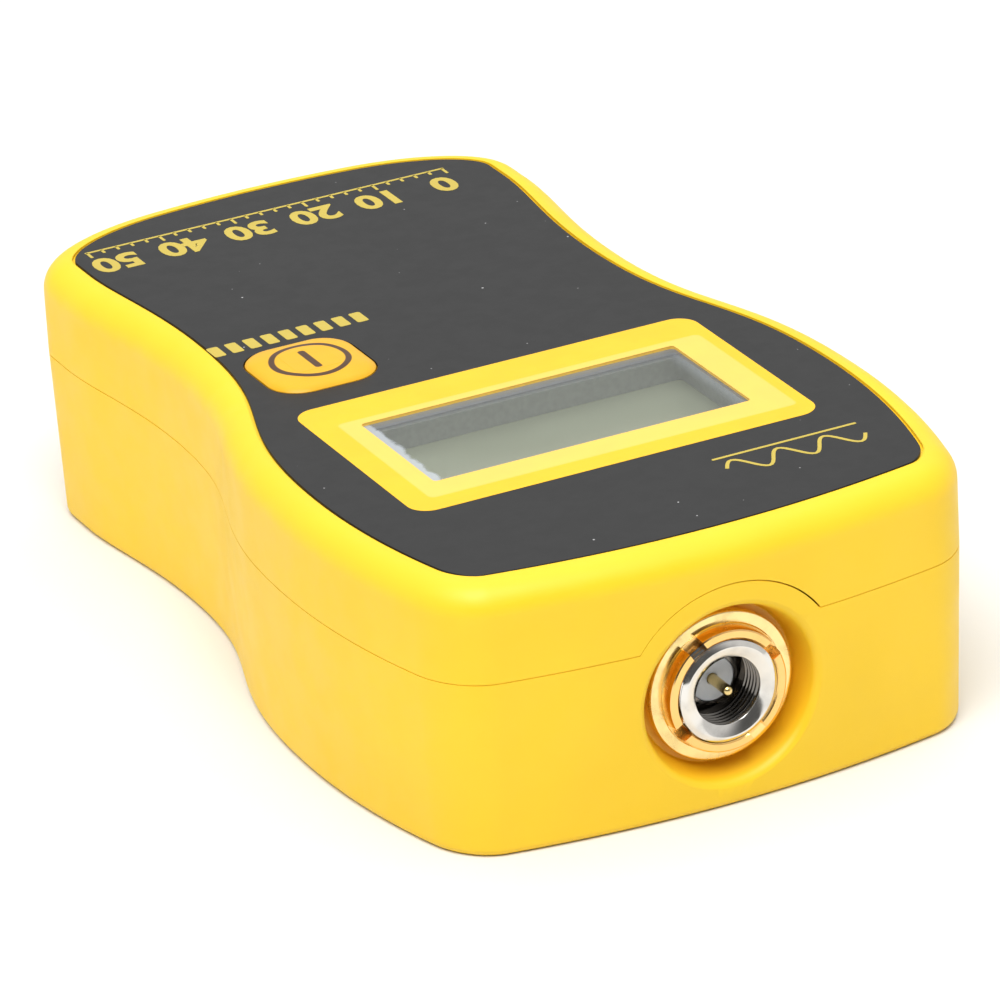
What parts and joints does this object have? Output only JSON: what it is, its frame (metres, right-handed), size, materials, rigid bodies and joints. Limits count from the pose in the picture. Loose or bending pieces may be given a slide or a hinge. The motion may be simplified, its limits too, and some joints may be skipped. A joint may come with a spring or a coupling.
{
  "type": "radio frequency power meter",
  "caption": "Hand-held radio frequency power meter and frequency counter: waisted two-part plastic case, film front with display window and push key, coaxial socket in the end wall.",
  "frame": {"origin": "middle of the case's base, where it rests", "axes": "+Y towards the end with the coaxial socket, +Z out of the front panel, +X to the right of a reader holding the socket end up"},
  "size_m": [0.0564, 0.095, 0.0256],
  "materials": {
    "case_plastic": "yellow moulded plastic, satin",
    "key_plastic": "yellow printed film, satin",
    "film_black": "black printed film, soft gloss",
    "lens_clear": "clear sheet",
    "lcd_glass": "grey-green display glass",
    "white_plastic": "white moulded plastic",
    "strip_rubber": "layered contact rubber",
    "board_green": "green solder mask",
    "chip_black": "black epoxy",
    "can_steel": "tinned steel",
    "chip_ceramic": "fired ceramic",
    "can_aluminium": "satin",
    "plunger_plastic": "natural nylon",
    "socket_nickel": "nickel plated, bright",
    "socket_gold": "gold plated, bright",
    "load_copper": "plated copper",
    "load_ceramic": "white ceramic",
    "spreader_aluminium": "rolled sheet",
    "screw_steel": "zinc plated",
    "contact_steel": "nickel plated spring steel",
    "cell_wrap": "printed wrap, dark"
  },
  "bodies": {
    "case": {"bottom_shell": "case_plastic", "top_shell": "case_plastic", "front_film": "film_black", "display_lens": "lens_clear", "lcd_cell": "lcd_glass", "lcd_holder": "white_plastic", "zebra_strips": "strip_rubber", "main_board": "board_green", "counter_chip": "chip_black", "prescaler_chip": "chip_black", "crystal_can": "can_steel", "chip_parts": "chip_ceramic", "filter_capacitors": "can_aluminium", "voltage_regulator": "chip_black", "shield_can": "can_steel", "switch_body": "chip_black", "socket_barrel": "socket_nickel", "socket_ring_nut": "socket_gold", "socket_insulator": "white_plastic", "socket_pin": "socket_gold", "socket_lock_washer": "socket_nickel", "load_bracket": "spreader_aluminium", "load_flange": "load_copper", "load_resistor": "load_ceramic", "load_tab": "load_copper", "load_screws": "screw_steel", "sample_lead": "load_copper", "battery_cell_1": "cell_wrap", "battery_cell_2": "cell_wrap", "battery_cell_3": "cell_wrap", "battery_springs": "contact_steel", "battery_plates": "contact_steel", "case_screws": "screw_steel", "board_screws": "screw_steel"},
    "key": {"key_cap": "key_plastic", "switch_plunger": "plunger_plastic"},
    "door": {"battery_door": "case_plastic"}
  },
  "joints": [
    {"name": "key_press", "type": "slide", "parent": "case", "child": "key", "axis": [0, 0, -1], "range_m": [0, 0.00035], "stiffness_N_per_m": 4500},
    {"name": "door_slide", "type": "slide", "parent": "case", "child": "door", "axis": [0, -1, 0], "range_m": [0, 0.058]}
  ]
}
